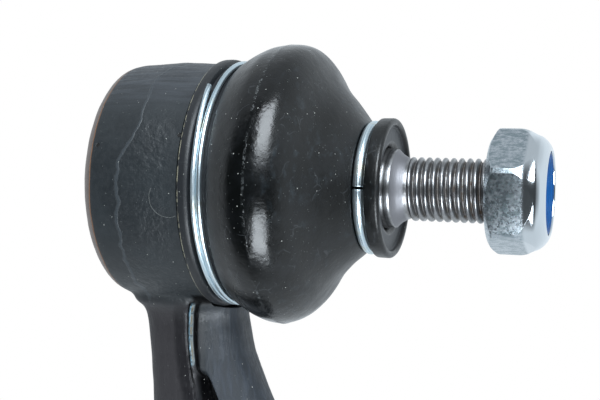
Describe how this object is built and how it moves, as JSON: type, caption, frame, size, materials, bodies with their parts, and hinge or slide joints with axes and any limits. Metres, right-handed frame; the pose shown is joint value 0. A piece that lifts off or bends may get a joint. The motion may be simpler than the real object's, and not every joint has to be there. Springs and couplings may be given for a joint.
{
  "type": "tie rod end",
  "caption": "Steering tie rod end: forged housing on a cranked arm with a threaded socket, ball stud under a rubber dust boot, and a nylon-insert lock nut.",
  "frame": {"origin": "centre of the ball", "axes": "+X along the ball stud towards the lock nut; -Z down the arm, out of the threaded socket; +Y completes a right-handed frame"},
  "size_m": [0.0708, 0.0442, 0.1201],
  "materials": {
    "black_forged_steel": "satin black coat over forged steel",
    "plated_cover": "zinc plated pressing",
    "spring_steel": "satin",
    "acetal": "moulded",
    "turned_steel": "turned and ground",
    "boot_rubber": "matte moulded rubber",
    "plated_wire": "bright zinc plated wire",
    "zinc_plate": "bright blue zinc plate",
    "blue_nylon": "moulded"
  },
  "bodies": {
    "housing": {"housing": "black_forged_steel", "cover_plate": "plated_cover", "preload_spring": "spring_steel", "lower_bearing": "acetal", "upper_bearing": "acetal"},
    "boot": {"dust_boot": "boot_rubber", "boot_clamp": "plated_wire"},
    "boot_neck": {"boot_clip": "plated_wire"},
    "stud": {"ball_stud": "turned_steel"},
    "nut_carrier": {"nylon_insert": "blue_nylon"},
    "nut": {"lock_nut": "zinc_plate"}
  },
  "joints": [
    {"name": "boot_turn", "type": "hinge", "parent": "housing", "child": "boot", "pos_m": [0, 0, 0], "axis": [1, 0, 0], "continuous": true},
    {"name": "stud_swing", "type": "hinge", "parent": "boot", "child": "boot_neck", "pos_m": [0, 0, 0], "axis": [0, 1, 0], "range_deg": [-24, 24], "deforming": ["dust_boot"]},
    {"name": "stud_spin", "type": "hinge", "parent": "boot_neck", "child": "stud", "pos_m": [0, 0, 0], "axis": [1, 0, 0], "continuous": true},
    {"name": "nut_travel", "type": "slide", "parent": "stud", "child": "nut_carrier", "axis": [1, 0, 0], "range_m": [-0.0104, 0.0066]},
    {"name": "nut_turn", "type": "hinge", "parent": "nut_carrier", "child": "nut", "pos_m": [0, 0, 0], "axis": [1, 0, 0], "range_deg": [-2880, 1800]}
  ],
  "couplings": [
    {"joint": "nut_travel", "follows": "nut_turn", "m_per_rad": 0.00019894}
  ]
}
